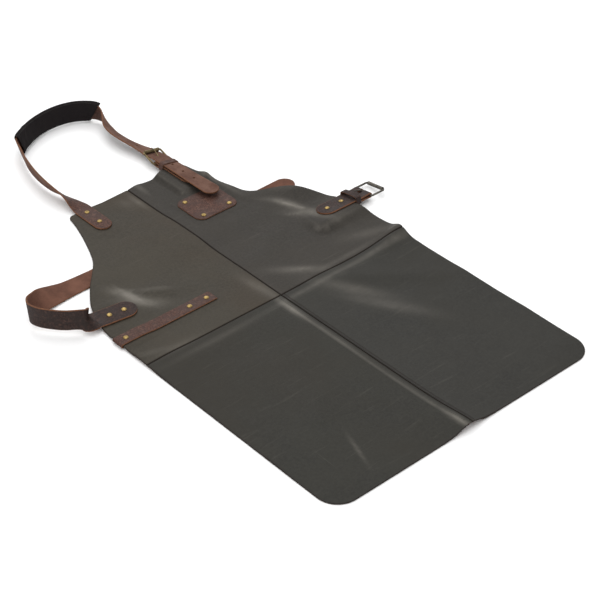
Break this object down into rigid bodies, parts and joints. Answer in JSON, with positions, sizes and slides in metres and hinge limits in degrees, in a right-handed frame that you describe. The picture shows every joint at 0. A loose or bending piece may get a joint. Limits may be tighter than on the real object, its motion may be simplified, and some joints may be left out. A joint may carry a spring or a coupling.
{
  "type": "leather work apron",
  "caption": "Leather work apron lying flat: bib and skirt sewn from panels, padded neck strap and waist strap with roller buckles, towel strap, riveted badge.",
  "frame": {"origin": "centre of the bounding box in X and Y, on the surface the apron lies on", "axes": "+X across the apron towards the waist buckle, +Y from the hem to the neck strap, +Z out of the face"},
  "size_m": [0.6752, 1.097, 0.0465],
  "materials": {
    "panel_leather": "waxed pull-up leather, dark grey-brown, mottled, soft sheen",
    "strap_leather": "waxed brown strap leather with raw cut edges",
    "thread": "waxed dark sewing thread",
    "pad_fabric": "black plain-weave fabric, matte",
    "pad_fill": "foam strip inside the neck pad",
    "rivet_brass": "polished brass",
    "antique_brass": "antiqued brass, darkened in the corners",
    "gunmetal": "gunmetal plating, satin"
  },
  "bodies": {
    "apron": {"bib_left_panel": "panel_leather", "bib_right_panel": "panel_leather", "skirt_left_panel": "panel_leather", "skirt_right_panel": "panel_leather", "bib_seam_thread": "thread", "waist_seam_thread": "thread", "skirt_seam_thread": "thread", "skirt_topstitch": "thread", "neck_strap": "strap_leather", "neck_buckle_tab": "strap_leather", "waist_strap": "strap_leather", "waist_buckle_tab": "strap_leather", "towel_strap": "strap_leather", "badge": "strap_leather", "neck_pad_cover": "pad_fabric", "neck_pad_padding": "pad_fill", "rivet_neck_left_1": "rivet_brass", "rivet_neck_left_1_back": "rivet_brass", "rivet_neck_left_2": "rivet_brass", "rivet_neck_left_2_back": "rivet_brass", "rivet_neck_right_1": "rivet_brass", "rivet_neck_right_1_back": "rivet_brass", "rivet_neck_right_2": "rivet_brass", "rivet_neck_right_2_back": "rivet_brass", "rivet_waist_left_1": "rivet_brass", "rivet_waist_left_1_back": "rivet_brass", "rivet_waist_left_2": "rivet_brass", "rivet_waist_left_2_back": "rivet_brass", "rivet_waist_right_1": "rivet_brass", "rivet_waist_right_1_back": "rivet_brass", "rivet_waist_right_2": "rivet_brass", "rivet_waist_right_2_back": "rivet_brass", "rivet_badge_1": "rivet_brass", "rivet_badge_1_back": "rivet_brass", "rivet_badge_2": "rivet_brass", "rivet_badge_2_back": "rivet_brass", "rivet_badge_3": "rivet_brass", "rivet_badge_3_back": "rivet_brass", "rivet_badge_4": "rivet_brass", "rivet_badge_4_back": "rivet_brass", "rivet_towel_1": "rivet_brass", "rivet_towel_1_back": "rivet_brass", "rivet_towel_2": "rivet_brass", "rivet_towel_2_back": "rivet_brass", "rivet_towel_3": "rivet_brass", "rivet_towel_3_back": "rivet_brass"},
    "neck_frame": {"neck_buckle_frame": "antique_brass"},
    "neck_roller": {"neck_buckle_roller": "antique_brass"},
    "neck_prong": {"neck_buckle_prong": "antique_brass"},
    "neck_keeper_ring": {"neck_keeper": "strap_leather"},
    "waist_frame": {"waist_buckle_frame": "gunmetal"},
    "waist_roller": {"waist_buckle_roller": "gunmetal"},
    "waist_prong": {"waist_buckle_prong": "gunmetal"},
    "waist_keeper_ring": {"waist_keeper": "strap_leather"}
  },
  "joints": [
    {"name": "neck_frame_tilt", "type": "hinge", "parent": "apron", "child": "neck_frame", "pos_m": [0.10424, 0.30654, 0.0088], "axis": [0.9848, 0, -0.1736], "range_deg": [0, 5]},
    {"name": "neck_roller_spin", "type": "hinge", "parent": "neck_frame", "child": "neck_roller", "pos_m": [0.10573, 0.33842, 0.01721], "axis": [0.9848, 0, -0.1736], "continuous": true},
    {"name": "neck_prong_swing", "type": "hinge", "parent": "neck_frame", "child": "neck_prong", "pos_m": [0.10424, 0.30654, 0.0088], "axis": [0.9848, 0, -0.1736], "range_deg": [0, 6]},
    {"name": "neck_keeper_slide", "type": "slide", "parent": "apron", "child": "neck_keeper_ring", "axis": [0, 1, 0], "range_m": [-0.0008, 0.001]},
    {"name": "waist_frame_tilt", "type": "hinge", "parent": "apron", "child": "waist_frame", "pos_m": [0.30424, 0.00054, 0.009], "axis": [0, -0.9903, 0.1392], "range_deg": [-6, 40]},
    {"name": "waist_roller_spin", "type": "hinge", "parent": "waist_frame", "child": "waist_roller", "pos_m": [0.33424, 0.00054, 0.009], "axis": [0, -0.9903, 0.1392], "continuous": true},
    {"name": "waist_prong_swing", "type": "hinge", "parent": "apron", "child": "waist_prong", "pos_m": [0.30424, 0.00054, 0.009], "axis": [0, 0.9903, -0.1392], "range_deg": [-12, 100]},
    {"name": "waist_keeper_slide", "type": "slide", "parent": "apron", "child": "waist_keeper_ring", "axis": [1, 0, 0], "range_m": [-0.0005, 0.002]}
  ]
}
